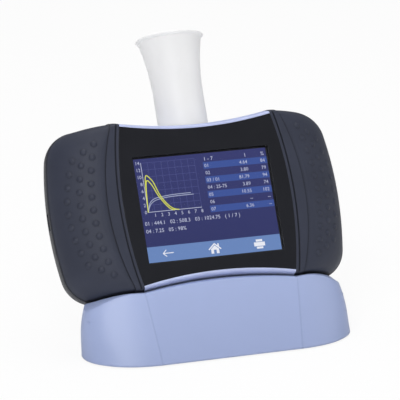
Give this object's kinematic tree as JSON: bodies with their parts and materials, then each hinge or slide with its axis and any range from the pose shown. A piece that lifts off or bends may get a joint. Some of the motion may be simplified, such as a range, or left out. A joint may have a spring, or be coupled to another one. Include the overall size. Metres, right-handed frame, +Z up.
{
  "type": "handheld spirometer with desk cradle",
  "caption": "Handheld touchscreen spirometer with ribbed side grips and a flared breathing tube, leaning back in a charging desk cradle.",
  "frame": {"origin": "middle of the cradle's underside, on the surface that it stands on", "axes": "+Z up, the screen faces -Y and leans back 28 degrees, +X to the right as the user sees it"},
  "size_m": [0.1542, 0.1093, 0.1477],
  "materials": {
    "grip": "soft matte dark grey moulded grip",
    "housing": "satin periwinkle moulded plastic",
    "rear": "fine-textured dark grey moulded plastic",
    "bezel": "black glossy plastic",
    "glass": "clear touch panel",
    "screen": "lit display face",
    "seal": "black foam gasket",
    "tube": "translucent white disposable plastic",
    "mesh": "fine woven plastic mesh",
    "inner_plastic": "plain black inner moulding",
    "metal": "plain steel",
    "brass": "gold-plated contact",
    "board": "green circuit board",
    "ribbon": "amber flexible circuit",
    "battery": "shrink-wrapped cell",
    "button": "soft grey button",
    "cradle": "satin periwinkle moulded plastic",
    "feet": "anti-slip rubber"
  },
  "bodies": {
    "cradle": {"cradle_shell": "cradle", "base_plate": "inner_plastic", "base_pad": "feet", "ballast_plate": "metal", "cradle_board": "board", "power_socket": "metal", "contact_block": "inner_plastic", "contact_barrels": "brass", "pocket_pads": "feet", "base_screws": "metal"},
    "handheld": {"front_housing": "housing", "rear_housing": "rear", "left_grip": "grip", "right_grip": "grip", "bezel": "bezel", "touch_panel": "glass", "display_gasket": "seal", "display_module": "screen", "sensor_tunnel": "inner_plastic", "left_transducer": "metal", "right_transducer": "metal", "left_boot": "seal", "right_boot": "seal", "main_board": "board", "power_board": "board", "board_ribbon": "ribbon", "usb_port": "metal", "radio_module": "metal", "buzzer": "inner_plastic", "power_switch": "inner_plastic", "battery_pack": "battery", "battery_terminals": "brass", "housing_screws": "metal", "charging_pads": "brass"},
    "breathing_tube": {"breathing_tube": "tube", "tube_meshes": "mesh"},
    "battery_door": {"battery_door": "rear"},
    "power_button": {"power_button": "button"},
    "contact_pins": {"contact_pins": "brass"}
  },
  "joints": [
    {"name": "handheld_lift", "type": "slide", "parent": "cradle", "child": "handheld", "axis": [0, 0.4695, 0.8829], "range_m": [0, 0.06]},
    {"name": "tube_slide", "type": "slide", "parent": "handheld", "child": "breathing_tube", "axis": [0, 0.4695, 0.8829], "range_m": [0, 0.09]},
    {"name": "door_pull", "type": "slide", "parent": "handheld", "child": "battery_door", "axis": [0, 0.8829, -0.4695], "range_m": [0, 0.02]},
    {"name": "power_press", "type": "slide", "parent": "handheld", "child": "power_button", "axis": [-1, 0, 0], "range_m": [0, 0.0008], "stiffness_N_per_m": 400},
    {"name": "pin_press", "type": "slide", "parent": "cradle", "child": "contact_pins", "axis": [0, -0.4695, -0.8829], "range_m": [0, 0.001], "stiffness_N_per_m": 300}
  ]
}
